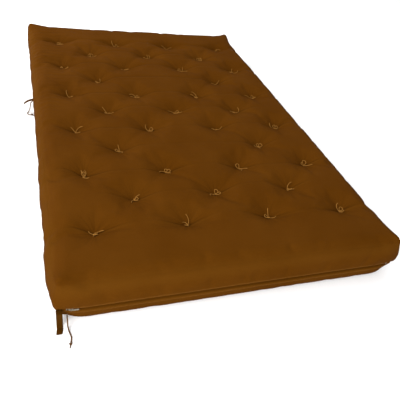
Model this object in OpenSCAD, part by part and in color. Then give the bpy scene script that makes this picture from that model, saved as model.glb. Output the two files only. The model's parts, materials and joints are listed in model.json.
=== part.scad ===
// Hand-tufted futon mattress. Millimetres, +Z up, origin on the resting face at its middle.
// +X runs across the bed, +Y towards the head end, and the zip is in the foot end at -Y.

/* [Mattress] */
// Width across the bed
mattress_w = 1200; // [800:10:1600]
// Length from the foot end to the head end
mattress_l = 1900; // [1700:10:2300]
// Thickness at the edge
mattress_t = 150; // [120:2:190]
// Radius of the four upright corners
corner_r = 12; // [6:1:25]

/* [Casing] */
// Thickness of the cotton drill
cloth = 1.2; // [0.8:0.1:2]
// Height of the seam that joins the top and bottom panels
seam_h = 52; // [40:1:66]
// Radius of the soft roll along the top edge
top_roll = 45; // [25:1:55]
// Radius of the roll along the bottom edge
bottom_roll = 22; // [10:1:25]
// Radius of the cloth as it turns in to the seam
seam_roll = 20; // [14:1:24]
// Part of that roll that the seam cuts off, which sets how deep the waist is
seam_over = 5; // [3:0.5:8]
// Width of the seam allowance inside
allowance = 12; // [6:1:18]

/* [Filling] */
// Thickness of each foam sheet
foam_t = 25; // [15:1:35]
// How far the foam sheets stop short of the mattress edge
foam_inset = 26; // [22:1:60]

/* [Tufts] */
// Distance of the outermost tufts from the long sides
side_margin = 147; // [110:1:170]
// Distance of the first and last rows of tufts from the ends
end_margin = 220; // [110:1:260]
// Depth of the dimple on top
dimple_depth = 20; // [12:1:26]
// Radius of the dimple on top
dimple_r = 50; // [30:1:60]
// Depth of the dimple underneath
under_depth = 14; // [10:1:20]
// Radius of the dimple underneath
under_r = 38; // [24:1:50]
// Diameter of the tufting twine
twine_d = 3; // [2:0.5:4]
// Diameter of the knot on top
knot_d = 9; // [7:0.5:11]
// Length of each loose tail
tail_l = 38; // [24:1:42]

/* [Fold] */
// Gap between the two halves at the fold
fold_gap = 0.6; // [0.4:0.1:2]

/* [Zip] */
// Width of each zip tape
tape_w = 13; // [8:1:15]
// Thickness of each zip tape
tape_t = 0.6; // [0.4:0.1:0.8]
// Height of one row of teeth
tooth_h = 3; // [2:0.5:4]
// Thickness of the teeth
tooth_t = 2; // [1.6:0.2:2.4]
// Gap between the two rows, where the slider's bridge runs
tooth_gap = 1.2; // [1:0.1:2]
// Length of the slider
slider_l = 13; // [9:1:18]
// Length of the pull tab from its bar to its end
pull_l = 22; // [16:1:34]
// Width of the pull tab
pull_w = 6; // [5:0.5:8]

/* [Ties] */
// Width of the tie tape
tie_w = 18; // [12:1:30]
// Thickness of the tape, folded double
tie_t = 2; // [1.2:0.2:3]
// Distance of the side tie from the fold, towards the head
side_tie_y = 190; // [60:1:300]
// Gap between the rounded corner and the corner tape
tape_from_corner = 0; // [0:1:20]
// Gap between the corner tape and the corner cord
cord_from_tape = 10; // [4:1:30]
// Run of the corner tape along the floor
tie_run = 20; // [8:1:40]
// Radius of the side tape's droop
tie_droop_r = 60; // [40:1:90]
// Diameter of the tie cord
cord_d = 4; // [3:0.5:5]
// Diameter of the knot at the end of a cord
cord_knot_d = 9; // [7:0.5:12]

/* [Hidden] */
$fn = 48;
clear = 0.3;                                // room between neighbouring soft pieces
layers = 6;                                 // two felts, two foams, two felts
rows = 11;
row_pitch = (mattress_l - 2 * end_margin) / (rows - 1);
column_pitch = (mattress_w - 2 * side_margin) / 3;
felt_t = (mattress_t - 2 * cloth - 2 * foam_t - (layers + 1) * clear) / (layers - 2);
fold_y = row_pitch / 2;                     // the fold runs between two rows of tufts
waist = roll_in(0);                         // how far the cloth turns in at the seam
corner_tape_in = corner_r + tape_from_corner + tie_w / 2;
corner_cord_in = corner_tape_in + tie_w / 2 + cord_from_tape + cord_d / 2;
stop_l = 4;
park = stop_l + slider_l / 2 + 3.5;         // the slider's place from the end of the opening
tab_room = 1.5;                             // the tab swings clear of the corner tape
slider_in = corner_tape_in + tie_w / 2 + tab_room + pull_l;
slider_x = -mattress_w / 2 + slider_in;     // the slider rests at the closed, left-hand end
zip_l = mattress_w - 2 * (slider_in - park);
slot_h = tooth_gap / 2 + tooth_h + 1.4;     // half the height of the zip opening
zip_y = -mattress_l / 2 + waist + cloth + clear + tooth_t / 2;  // mid plane of the teeth
seam_room = waist + cloth + allowance + 2 * clear;
seam_band = tape_w + slot_h;                // layers this near to the seam stop short of it
plate_t = 1.2;                              // wall of the slider
plate_h = 2 * slot_h - 2 * clear;           // height of the slider
plate_y = zip_y - tooth_t / 2 - clear;      // back of the slider's outer plate
pin_r = 0.7;                                // bar that holds the pull tab
pin_reach = 3.8;                            // distance of that bar in front of the plate
pull_t = 1.2;
tail_tilt = 18;                             // rise of the loose tails up the dimple
knot_seat = mattress_t - dimple_depth + knot_d / 2;
droop = 50;                                 // degrees through which the side tape turns down

// Cord centre lines: out from the casing, down, and along the floor.
// Each point is [outward, sideways, height], measured from where the cord leaves the casing.
CORNER_CORD = [
    [0, 0, 36], [7, 0, 36], [12, 0, 34], [16, 0, 29], [18, 0, 22], [20, 0, 15], [23, 1, 8],
    [28, 2, 4], [35, 4, 2], [43, 6, 2], [51, 7, 2], [59, 6, 2], [67, 4, 2]
];
SIDE_CORD = [
    [0, 0, 52], [8, 0, 52], [14, 1, 50], [19, 2, 45], [22, 4, 37], [24, 6, 27], [26, 8, 17],
    [30, 11, 8], [35, 16, 3], [38, 23, 2], [37, 31, 2], [32, 37, 2], [24, 39, 2]
];

drill = [0.42, 0.25, 0.06];
felt = [0.93, 0.90, 0.82];
foam = [0.96, 0.93, 0.72];
twine = [0.60, 0.38, 0.15];
zip_cloth = [0.34, 0.20, 0.06];
zip_metal = [0.78, 0.77, 0.74];

// Inset of the casing's outer face at height h above or below the seam.
function roll_in(h) =
    seam_roll - sqrt(pow(seam_roll, 2) - pow(seam_roll - seam_over - h, 2));
// Where a tie of thickness d starts, outward from the waist, to lie against the cloth.
function tie_start(d) = waist - roll_in(d / 2) + clear;

// ---- tuft layout: rows of four and three by turns, with the middle left out of rows 4 and 8

function columns(row) =
    row % 2 == 0 ? [-1.5, -0.5, 0.5, 1.5]
    : (row == 3 || row == 7) ? [-1, 1]
    : [-1, 0, 1];
function row_y(row) = ((rows - 1) / 2 - row) * row_pitch;
function turn(row, i) = (row * 67 + i * 103) % 360;

module each_tuft(first, last) {
    for (row = [first:last])
        for (c = columns(row))
            translate([c * column_pitch, row_y(row), 0])
                children();
}

// ---- outline shapes

module plan(inset) {
    w = mattress_w - 2 * inset;
    l = mattress_l - 2 * inset;
    r = corner_r;
    square([w - 2 * r, l], center = true);
    square([w, l - 2 * r], center = true);
    for (sx = [-1, 1])
        for (sy = [-1, 1])
            translate([sx * (w / 2 - r), sy * (l / 2 - r)])
                circle(r);
}

// Upright section: rounded by r0 below and r1 above, between heights z0 and z1.
module section(w, z0, z1, r0, r1) {
    for (s = [-1, 1]) {
        translate([s * (w / 2 - r0), z0 + r0])
            circle(r0);
        translate([s * (w / 2 - r1), z1 - r1])
            circle(r1);
    }
    polygon([
        [-w / 2 + r0, z0], [w / 2 - r0, z0], [w / 2, z0 + r0], [w / 2, z1 - r1],
        [w / 2 - r1, z1], [-w / 2 + r1, z1], [-w / 2, z1 - r1], [-w / 2, z0 + r0]
    ]);
}

// A block whose four edges roll, and whose upright corners are boxed.
module rolled_block(inset, z0, z1, r0, r1) {
    w = mattress_w - 2 * inset;
    l = mattress_l - 2 * inset;
    intersection() {
        rotate([90, 0, 0])
            linear_extrude(2 * l, center = true)
                section(w, z0, z1, r0, r1);
        rotate([90, 0, 90])
            linear_extrude(2 * w, center = true)
                section(l, z0, z1, r0, r1);
        translate([0, 0, z0 - 1])
            linear_extrude(z1 - z0 + 2)
                plan(inset);
    }
}

module above(z) {
    translate([-mattress_w, -mattress_l, z])
        cube([2 * mattress_w, 2 * mattress_l, 2 * mattress_t]);
}

module head_side() {
    translate([-mattress_w, fold_y + fold_gap / 2, -mattress_t])
        cube([2 * mattress_w, 2 * mattress_l, 3 * mattress_t]);
}

module foot_side() {
    translate([-mattress_w, fold_y - fold_gap / 2 - 2 * mattress_l, -mattress_t])
        cube([2 * mattress_w, 2 * mattress_l, 3 * mattress_t]);
}

// ---- dimples: grow is how far the cone stands off the face of the cloth

module top_dimple(grow) {
    translate([0, 0, mattress_t - dimple_depth - grow])
        cylinder(h = dimple_depth + 2 * grow, r1 = knot_d / 2 + grow,
                 r2 = dimple_r + grow * (1 + 2 * dimple_r / dimple_depth));
}

module under_dimple(grow) {
    translate([0, 0, -grow])
        cylinder(h = under_depth + 2 * grow, r1 = under_r + grow * (1 + 2 * under_r / under_depth),
                 r2 = knot_d / 2 + grow);
}

module twine_hole() {
    translate([0, 0, -1])
        cylinder(h = mattress_t + 2, r = twine_d / 2 + clear);
}

// ---- casing

module zip_slot() {
    translate([-zip_l / 2, -mattress_l, seam_h - slot_h])
        cube([zip_l, mattress_l / 2 + waist + cloth + 4, 2 * slot_h]);
}

module seam_allowance(z) {
    translate([0, 0, z])
        linear_extrude(cloth)
            difference() {
                plan(waist);
                plan(waist + cloth + allowance);
                translate([0, -mattress_l / 2])
                    square([2 * mattress_w, 2 * seam_room], center = true);
            }
}

module top_panel(first, last) {
    low = seam_h - seam_over;
    color(drill)
        difference() {
            intersection() {
                difference() {
                    rolled_block(0, low, mattress_t, seam_roll, top_roll);
                    difference() {
                        rolled_block(cloth, low + cloth, mattress_t - cloth,
                                     seam_roll - cloth, top_roll - cloth);
                        each_tuft(first, last)
                            top_dimple(cloth);
                    }
                    each_tuft(first, last)
                        top_dimple(0);
                    each_tuft(first, last)
                        twine_hole();
                }
                above(seam_h + clear / 3);
                children();
            }
            zip_slot();
        }
    color(drill)
        intersection() {
            seam_allowance(seam_h + clear / 3);
            children();
        }
}

module bottom_panel(first, last) {
    high = seam_h + seam_over;
    color(drill)
        difference() {
            intersection() {
                difference() {
                    rolled_block(0, 0, high, bottom_roll, seam_roll);
                    difference() {
                        rolled_block(cloth, cloth, high - cloth, bottom_roll - cloth,
                                     seam_roll - cloth);
                        each_tuft(first, last)
                            under_dimple(cloth);
                    }
                    each_tuft(first, last)
                        under_dimple(0);
                    each_tuft(first, last)
                        twine_hole();
                }
                children();
            }
            above(seam_h - clear / 3);
            zip_slot();
        }
    color(drill)
        intersection() {
            seam_allowance(seam_h - clear / 3 - cloth);
            children();
        }
}

// ---- filling: layer i counts up from the floor

function is_foam(i) = i == 2 || i == 3;
function layer_t(i) = is_foam(i) ? foam_t : felt_t;
function layer_z(i) = i == 0 ? cloth + clear : layer_z(i - 1) + layer_t(i - 1) + clear;

// Inset of the casing's inner face at depth d below (or above) the face that its roll starts from.
function wall_inset(r, d) =
    d >= r ? cloth : r - sqrt(max(0, pow(r - cloth, 2) - pow(r - d, 2)));

function layer_inset(i) =
    let (z0 = layer_z(i), z1 = z0 + layer_t(i))
    max(wall_inset(top_roll, mattress_t - z1) + clear,
        wall_inset(bottom_roll, z0) + clear,
        (z0 < seam_h + seam_band && z1 > seam_h - seam_band) ? seam_room : 0,
        is_foam(i) ? foam_inset : 0);

module layer(i, first, last) {
    color(is_foam(i) ? foam : felt)
        intersection() {
            difference() {
                translate([0, 0, layer_z(i)])
                    linear_extrude(layer_t(i))
                        plan(layer_inset(i));
                each_tuft(first, last)
                    twine_hole();
                each_tuft(first, last)
                    top_dimple(cloth + clear);
                each_tuft(first, last)
                    under_dimple(cloth + clear);
            }
            children();
        }
}

// ---- tufts: one length of twine each, knotted on top with two loose tails

module tuft(angle) {
    low = under_depth - knot_d / 3;
    translate([0, 0, low])
        cylinder(h = knot_seat - low, r = twine_d / 2);
    translate([0, 0, knot_seat])
        sphere(knot_d / 2);
    translate([0, 0, low])
        sphere(knot_d / 3);
    for (a = [angle, angle + 150])
        translate([0, 0, knot_seat])
            rotate([0, 90 - tail_tilt, a])
                cylinder(h = tail_l, r = twine_d / 2 - 0.2);
}

module tuft_row(row) {
    color(twine)
        for (i = [0:len(columns(row)) - 1])
            translate([columns(row)[i] * column_pitch, row_y(row), 0])
                tuft(turn(row, i));
}

// ---- zip across the foot end

module zip_strip(h, t, from, side) {
    z = side > 0 ? seam_h + from : seam_h - from - h;
    translate([-zip_l / 2 + 1, zip_y - t / 2, z])
        cube([zip_l - 2, t, h]);
}

module zip_tape(side) {
    color(zip_cloth)
        zip_strip(tape_w, tape_t, tooth_gap / 2 + tooth_h, side);
}

module zip_teeth(side) {
    color(zip_cloth)
        translate([stop_l, 0, 0])
            difference() {
                zip_strip(tooth_h, tooth_t, tooth_gap / 2, side);
                translate([zip_l / 2 - 2 * stop_l - 2, zip_y - tooth_t, 0])
                    cube([3 * stop_l, 2 * tooth_t, mattress_t]);
            }
}

module zip_stops_left() {
    color(zip_metal)
        for (side = [-1, 1])
            translate([-zip_l / 2 + 1, zip_y - tooth_t / 2,
                       side > 0 ? seam_h + tooth_gap / 2 : seam_h - tooth_gap / 2 - tooth_h])
                cube([stop_l - 0.4, tooth_t, tooth_h]);
}

module zip_stop_right() {
    color(zip_metal)
        translate([zip_l / 2 - stop_l - 0.6, zip_y - tooth_t / 2, seam_h - tooth_gap / 2 - tooth_h])
            cube([stop_l - 0.4, tooth_t, tooth_gap + 2 * tooth_h]);
}

// Plates in front of and behind the teeth, a bridge between the rows, and a bail for the pull.
module zip_slider() {
    post = 1;
    bail_h = pull_w / 3;
    depth = tooth_t + 2 * clear;
    color(zip_metal)
        translate([slider_x, 0, seam_h]) {
            for (y = [plate_y - plate_t, plate_y + depth])
                translate([-slider_l / 2, y, -plate_h / 2])
                    cube([slider_l, plate_t, plate_h]);
            translate([-slider_l / 2, plate_y - plate_t / 2, -tooth_gap / 4])
                cube([slider_l / 3, depth + plate_t, tooth_gap / 2]);
            for (s = [-1, 1])
                translate([-pin_r, plate_y - plate_t - pin_reach - pin_r,
                           s * (bail_h + post / 2) - post / 2])
                    cube([2 * pin_r, pin_reach + pin_r + plate_t / 2, post]);
            translate([0, plate_y - plate_t - pin_reach, -bail_h - post / 2])
                cylinder(h = 2 * bail_h + post, r = pin_r);
        }
}

// The tab hangs on the bail's bar and lies along the teeth at rest.
module zip_pull_tab() {
    eye_r = pin_r + pull_t;
    neck_l = eye_r + 2;
    neck_w = 2 * pull_w / 3 - 4 * clear;
    plate_l = pull_l - neck_l - pull_w / 2;
    color(zip_metal)
        translate([slider_x, plate_y - plate_t - pin_reach, seam_h])
            difference() {
                union() {
                    translate([0, 0, -neck_w / 2])
                        cylinder(h = neck_w, r = eye_r);
                    translate([0, -pull_t / 2, -neck_w / 2])
                        cube([neck_l + 1, pull_t, neck_w]);
                    translate([neck_l, pull_t / 2, 0])
                        rotate([90, 0, 0])
                            linear_extrude(pull_t) {
                                translate([0, -pull_w / 2])
                                    square([plate_l, pull_w]);
                                translate([plate_l, 0])
                                    circle(pull_w / 2);
                            }
                }
                translate([0, 0, -pull_w])
                    cylinder(h = 2 * pull_w, r = pin_r + 0.1);
            }
}

// ---- ties: a tape folded double and a knotted cord, at the foot corner and by the fold

// Points are [outward, height, heading], with the heading in degrees above level.
// turn is 1 where the tape turns down and -1 where it turns up.
function bend_points(centre, r, from, to, turn) =
    let (steps = 10)
    [for (k = [0:steps])
        let (h = from + (to - from) * k / steps)
        [centre[0] - turn * r * sin(h), centre[1] + turn * r * cos(h), h]];

// The tape's section: its middle line given half its thickness on each side.
module tape_section(line) {
    half = tie_t / 2;
    polygon(concat(
        [for (p = line) [p[0] - half * sin(p[2]), p[1] + half * cos(p[2])]],
        [for (i = [len(line) - 1:-1:0]) let (p = line[i])
            [p[0] + half * sin(p[2]), p[1] - half * cos(p[2])]]
    ));
}

// From the seam out over the lower roll, down, and along the floor.
module tie_tape_corner() {
    out = waist + 4;
    bend = 5;
    foot_bend = 7;
    landing = out + bend + foot_bend;
    line = concat(
        [[tie_start(tie_t), seam_h, 0]],
        bend_points([out, seam_h - bend], bend, 0, -90, 1),
        bend_points([landing, tie_t / 2 + foot_bend], foot_bend, -90, 0, -1),
        [[landing + tie_run, tie_t / 2, 0]]
    );
    color(drill)
        translate([-mattress_w / 2 + corner_tape_in, -mattress_l / 2 + waist, 0])
            rotate([90, 0, -90])
                linear_extrude(tie_w, center = true)
                    tape_section(line);
}

module tie_tape_side() {
    line = concat(
        [[tie_start(tie_t), seam_h, 0]],
        bend_points([waist, seam_h - tie_droop_r], tie_droop_r, 0, -droop, 1)
    );
    color(drill)
        translate([-mattress_w / 2 + waist, fold_y + side_tie_y, 0])
            rotate([90, 0, 180])
                linear_extrude(tie_w, center = true)
                    tape_section(line);
}

function unit(v) = v / norm(v);
function step(path, i) =
    i == 0 ? unit(path[1] - path[0])
    : i == len(path) - 1 ? unit(path[i] - path[i - 1])
    : unit(unit(path[i + 1] - path[i]) + unit(path[i] - path[i - 1]));

// A round cord swept along its own points. No stretch of cord runs along the aside direction.
module swept_cord(path, d) {
    sides = 8;
    n = len(path);
    aside = [1, 1, 1];
    points = [for (i = [0:n - 1])
        let (t = step(path, i),
             u = unit(cross(aside, t)),
             v = cross(t, u))
        for (k = [0:sides - 1])
            path[i] + d / 2 * (cos(360 * k / sides) * u + sin(360 * k / sides) * v)];
    walls = [for (i = [0:n - 2])
        for (k = [0:sides - 1])
            let (a = i * sides + k, b = i * sides + (k + 1) % sides)
            each [[a, b, b + sides], [a, b + sides, a + sides]]];
    ends = [[for (k = [sides - 1:-1:0]) k], [for (k = [0:sides - 1]) (n - 1) * sides + k]];
    polyhedron(points, concat(walls, ends), convexity = 6);
}

// Outward is towards the foot at the corner, and to the left at the side.
module at_corner_cord() {
    translate([-mattress_w / 2 + corner_cord_in, -mattress_l / 2 - clear, 0])
        rotate([0, 0, -90])
            children();
}

module at_side_cord() {
    translate([-mattress_w / 2 + waist - tie_start(cord_d),
               fold_y + side_tie_y - tie_w / 2 - cord_d, 0])
        rotate([0, 0, 180])
            children();
}

module cord_end_knot(path) {
    far = path[len(path) - 1];
    run = unit(far - path[len(path) - 2]);
    translate([far[0], far[1], cord_knot_d / 2] + run * (cord_knot_d / 2 + 0.4))
        sphere(cord_knot_d / 2);
}

module tie_cord_corner() {
    color(twine) at_corner_cord() swept_cord(CORNER_CORD, cord_d);
}

module tie_knot_corner() {
    color(twine) at_corner_cord() cord_end_knot(CORNER_CORD);
}

module tie_cord_side() {
    color(twine) at_side_cord() swept_cord(SIDE_CORD, cord_d);
}

module tie_knot_side() {
    color(twine) at_side_cord() cord_end_knot(SIDE_CORD);
}

top_panel(0, 4) head_side();  // top_panel_head
top_panel(5, 10) foot_side();  // top_panel_foot
bottom_panel(0, 4) head_side();  // bottom_panel_head
bottom_panel(5, 10) foot_side();  // bottom_panel_foot
layer(0, 0, 4) head_side();  // felt_1_head
layer(0, 5, 10) foot_side();  // felt_1_foot
layer(1, 0, 4) head_side();  // felt_2_head
layer(1, 5, 10) foot_side();  // felt_2_foot
layer(2, 0, 4) head_side();  // foam_3_head
layer(2, 5, 10) foot_side();  // foam_3_foot
layer(3, 0, 4) head_side();  // foam_4_head
layer(3, 5, 10) foot_side();  // foam_4_foot
layer(4, 0, 4) head_side();  // felt_5_head
layer(4, 5, 10) foot_side();  // felt_5_foot
layer(5, 0, 4) head_side();  // felt_6_head
layer(5, 5, 10) foot_side();  // felt_6_foot
tuft_row(0);  // tuft_row_01
tuft_row(1);  // tuft_row_02
tuft_row(2);  // tuft_row_03
tuft_row(3);  // tuft_row_04
tuft_row(4);  // tuft_row_05
tuft_row(5);  // tuft_row_06
tuft_row(6);  // tuft_row_07
tuft_row(7);  // tuft_row_08
tuft_row(8);  // tuft_row_09
tuft_row(9);  // tuft_row_10
tuft_row(10);  // tuft_row_11
zip_tape(1);  // zip_tape_upper
zip_tape(-1);  // zip_tape_lower
zip_teeth(1);  // zip_teeth_upper
zip_teeth(-1);  // zip_teeth_lower
zip_stops_left();
zip_stop_right();
zip_slider();
zip_pull_tab();
tie_tape_corner();
tie_cord_corner();
tie_knot_corner();
tie_tape_side();
tie_cord_side();
tie_knot_side();
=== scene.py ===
import json
import math
import random

import bmesh
import bpy
import numpy as np
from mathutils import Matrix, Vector, noise
from mathutils.bvhtree import BVHTree


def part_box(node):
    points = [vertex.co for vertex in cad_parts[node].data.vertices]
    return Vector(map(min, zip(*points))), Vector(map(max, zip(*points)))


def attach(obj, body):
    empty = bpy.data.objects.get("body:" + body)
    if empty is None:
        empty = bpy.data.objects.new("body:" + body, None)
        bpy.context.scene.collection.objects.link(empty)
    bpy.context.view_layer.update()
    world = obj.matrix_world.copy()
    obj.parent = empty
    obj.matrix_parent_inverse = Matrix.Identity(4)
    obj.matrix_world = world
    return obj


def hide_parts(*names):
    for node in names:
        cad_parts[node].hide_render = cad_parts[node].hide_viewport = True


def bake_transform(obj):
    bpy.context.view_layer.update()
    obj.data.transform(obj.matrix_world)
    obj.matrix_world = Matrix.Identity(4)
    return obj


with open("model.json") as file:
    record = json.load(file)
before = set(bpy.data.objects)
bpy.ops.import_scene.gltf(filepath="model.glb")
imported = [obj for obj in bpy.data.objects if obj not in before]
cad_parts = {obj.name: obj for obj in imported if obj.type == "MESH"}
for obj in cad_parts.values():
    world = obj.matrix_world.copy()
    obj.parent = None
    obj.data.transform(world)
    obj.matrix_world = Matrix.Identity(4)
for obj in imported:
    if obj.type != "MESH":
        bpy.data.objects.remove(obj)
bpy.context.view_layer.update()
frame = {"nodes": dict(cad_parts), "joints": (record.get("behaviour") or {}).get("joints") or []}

# ---------------- sizes, in metres, from the frame

PANEL_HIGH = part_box("top_panel_head")[1]
HALF_W, HALF_L, THICK = PANEL_HIGH.x, PANEL_HIGH.y, PANEL_HIGH.z
SEAM = (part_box("zip_teeth_upper")[0].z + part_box("zip_teeth_lower")[1].z) / 2
FOLD_Y = next(j for j in frame["joints"] if j["name"] == "fold")["pos_m"][1]
ZIP_LOW, ZIP_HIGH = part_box("zip_tape_upper")
ZIP_Y = (ZIP_LOW.y + ZIP_HIGH.y) / 2
ZIP_HALF = ZIP_HIGH.x

TOP_ROLL, BOTTOM_ROLL, CORNER = 0.045, 0.022, 0.012
SEAM_ROLL, SEAM_CUT = 0.020, 0.015
EAR_RISE, EAR_LIMIT = 0.012, 0.0135      # how far the top corners stand up, and the most they may
EAR_HEAD, EAR_FOOT = 0.006, -0.012       # how far they stand out at the head end and the foot end
SLOT = 0.0052                 # half the height of the gap that shows the zip
ZIP_FLOOR = 0.0014            # the cloth behind the zip
DIMPLE, UNDER_DIMPLE = 0.028, 0.013
WAIST = 0.0068                # how far the cloth is drawn in at the seam
NEAR_TUFT = 0.095             # pleats run out no further than this from a tuft
TWINE = 0.003
CORD = 0.004
TAPE_THICK = 0.002

MM = 0.001


def tuft_places(node):
    """The (x, y) of each length of twine in a row, from its stops underneath."""
    points = np.array([v.co for v in frame["nodes"][node].data.vertices])
    low = points[points[:, 2] < points[:, 2].min() + 2 * MM]
    xs = np.sort(low[:, 0])
    groups = np.split(xs, np.where(np.diff(xs) > 0.05)[0] + 1)
    y = (low[:, 1].min() + low[:, 1].max()) / 2
    return [((g.min() + g.max()) / 2, y) for g in groups]


TUFT_ROWS = {name: tuft_places(name) for name in sorted(frame["nodes"]) if name.startswith("tuft_row")}
TUFTS = [(x, y) for places in TUFT_ROWS.values() for x, y in places]

# ---------------- small helpers


def linked(name, data):
    """A new object in the scene for a mesh, curve, light or camera."""
    made = bpy.data.objects.new(name, data)
    bpy.context.scene.collection.objects.link(made)
    return made


def set_smooth(mesh, smooth=True):
    mesh.polygons.foreach_set("use_smooth", [smooth] * len(mesh.polygons))


def object_from(name, mesh, material, smooth=True):
    """A linked object for a finished mesh, with its material and smooth or flat faces."""
    mesh.materials.clear()
    mesh.materials.append(material)
    set_smooth(mesh, smooth)
    return linked(name, mesh)


def mesh_from(bm, name):
    mesh = bpy.data.meshes.new(name)
    bm.to_mesh(mesh)
    bm.free()
    return mesh


def read_points(mesh):
    points = np.empty(len(mesh.vertices) * 3)
    mesh.vertices.foreach_get("co", points)
    return points.reshape(-1, 3)


def write_points(mesh, points):
    mesh.vertices.foreach_set("co", np.ascontiguousarray(points, dtype=np.float32).ravel())
    mesh.update()


def add_attribute(mesh, name, values):
    """A point attribute: one number for each point, or three."""
    kind, field = ("FLOAT", "value") if values.ndim == 1 else ("FLOAT_VECTOR", "vector")
    layer = mesh.attributes.new(name, kind, "POINT")
    layer.data.foreach_set(field, values.astype(np.float32).ravel())


def applied(piece):
    """Turns the piece's live modifiers into its mesh."""
    depsgraph = bpy.context.evaluated_depsgraph_get()
    baked = bpy.data.meshes.new_from_object(piece.evaluated_get(depsgraph))
    baked.name = piece.data.name
    piece.modifiers.clear()
    piece.data = baked
    return piece


def subdivided(piece):
    finer = piece.modifiers.new("finer", "SUBSURF")
    finer.levels = finer.render_levels = 1
    return applied(piece)


def smoothstep(low, high, value):
    t = np.clip((value - low) / (high - low), 0, 1)
    return t * t * (3 - 2 * t)


def hump(value, width):
    """A smooth bump of height 1 round zero."""
    return np.exp(-(value / width) ** 2)


def spread_lines(half, step, edge):
    """Places from -half to half: close together within the edge distances, then an even step."""
    inner = half - edge[-1]
    count = max(2, round(2 * inner / step))
    middle = list(np.linspace(-inner, inner, count + 1))
    return [-half + e for e in edge[:-1]] + middle + [half - e for e in reversed(edge[:-1])]


def grid_box(xs, ys, zs):
    """A closed box of quads with a line at each given place, unfolded into a UV map in metres."""
    bm = bmesh.new()
    bmesh.ops.create_cube(bm, size=2)
    for axis, places in enumerate((xs, ys, zs)):
        along = [e for e in bm.edges if abs(e.verts[0].co[axis] - e.verts[1].co[axis]) > 1]
        bmesh.ops.subdivide_edges(bm, edges=along, cuts=len(places) - 2)
    for axis, places in enumerate((xs, ys, zs)):
        even = np.linspace(-1, 1, len(places))
        for v in bm.verts:
            v.co[axis] = np.interp(v.co[axis], even, places)
    uv = bm.loops.layers.uv.new("UVMap")
    top = zs[-1]
    bm.normal_update()
    for face in bm.faces:
        n = face.normal
        for loop in face.loops:
            x, y, z = loop.vert.co
            if abs(n.z) > 0.5:
                loop[uv].uv = (x, y) if n.z > 0 else (x + 4, y)
            elif abs(n.x) > 0.5:
                loop[uv].uv = (x + n.x * (top - z), y)
            else:
                loop[uv].uv = (x, y + n.y * (top - z))
    return bm


# ---------------- materials


def node(tree, kind, inputs=None, **settings):
    made = tree.nodes.new(kind)
    for key, value in settings.items():
        setattr(made, key, value)
    for key, value in (inputs or {}).items():
        if isinstance(value, bpy.types.NodeSocket):
            tree.links.new(value, made.inputs[key])
        else:
            made.inputs[key].default_value = value
    return made


def join(tree, made, **values):
    """Links outputs to the sockets of a made node, an underscore standing for a space."""
    for title, value in values.items():
        tree.links.new(value, made.inputs[title.replace("_", " ")])


def math_of(tree, operation, *values):
    """The output of one Math node."""
    return node(tree, "ShaderNodeMath", dict(enumerate(values)), operation=operation).outputs[0]


def times(tree, *values):
    result = values[0]
    for value in values[1:]:
        result = math_of(tree, "MULTIPLY", result, value)
    return result


def vector_math(tree, operation, *values, out=0, **named):
    inputs = {**dict(enumerate(values)), **named}
    return node(tree, "ShaderNodeVectorMath", inputs, operation=operation).outputs[out]


def ramp(tree, value, *limits):
    """A Map Range node: from low, from high and, if they aren't 0 and 1, to low and to high."""
    return node(tree, "ShaderNodeMapRange", dict(enumerate((value, *limits)))).outputs[0]


def noise_of(tree, vector, scale, detail, roughness=0.5):
    inputs = {"Vector": vector, "Scale": scale, "Detail": detail, "Roughness": roughness}
    return node(tree, "ShaderNodeTexNoise", inputs).outputs["Fac"]


def stretch(tree, vector, scale, turn=0.0):
    inputs = {"Vector": vector, "Scale": scale, "Rotation": (0.0, 0.0, turn)}
    return node(tree, "ShaderNodeMapping", inputs).outputs[0]


def own_place(tree):
    """The piece's own coordinates."""
    return node(tree, "ShaderNodeTexCoord").outputs["Object"]


def sheet_place(tree):
    """The piece's UV map, in metres along the cloth."""
    return node(tree, "ShaderNodeUVMap", uv_map="UVMap").outputs["UV"]


FLOAT, VECTOR = "NodeSocketFloat", "NodeSocketVector"


def new_group(name, inputs, outputs):
    """An empty node group with float and vector sockets."""
    tree = bpy.data.node_groups.new(name, "ShaderNodeTree")
    for title, kind, value in inputs:
        socket = tree.interface.new_socket(title, in_out="INPUT", socket_type=kind)
        if value is not None:
            socket.default_value = value
    for title, kind in outputs:
        tree.interface.new_socket(title, in_out="OUTPUT", socket_type=kind)
    return tree, tree.nodes.new("NodeGroupInput"), tree.nodes.new("NodeGroupOutput")


def wave(tree, vector, direction, pitch):
    """A sine from -1 to 1 along direction, one turn in each pitch."""
    along = vector_math(tree, "DOT_PRODUCT", vector, direction, out="Value")
    turns = math_of(tree, "DIVIDE", along, pitch)
    return math_of(tree, "SINE", times(tree, turns, math.tau))


def build_weave_group():
    """Twill: raised diagonal lines crossed by the finer threads, a little uneven."""
    tree, given, out = new_group(
        "twill_weave",
        [("Vector", VECTOR, None), ("Pitch", FLOAT, 1.6 * MM)],
        [("Height", FLOAT), ("Shade", FLOAT)],
    )
    vector, pitch = given.outputs["Vector"], given.outputs["Pitch"]
    wander = node(tree, "ShaderNodeTexNoise", {"Vector": vector, "Scale": 140.0, "Detail": 2.0})
    push = vector_math(tree, "SCALE", wander.outputs["Color"], Scale=0.35 * MM)
    place = vector_math(tree, "ADD", vector, push)
    lines = wave(tree, place, (0.80, 0.60, 0.0), pitch)
    threads = wave(tree, place, (-0.35, 0.94, 0.0), times(tree, pitch, 0.55))
    both = math_of(tree, "ADD", lines, times(tree, threads, 0.35))
    height = math_of(tree, "ADD", both, noise_of(tree, vector, 900.0, 1.0))
    # Shade is the weave's relief as a tone from 0 to 1, for painted shade and highlight on the threads and
    # for roughness
    join(tree, out, Height=height, Shade=ramp(tree, height, -1.0, 2.0))
    return tree


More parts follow.
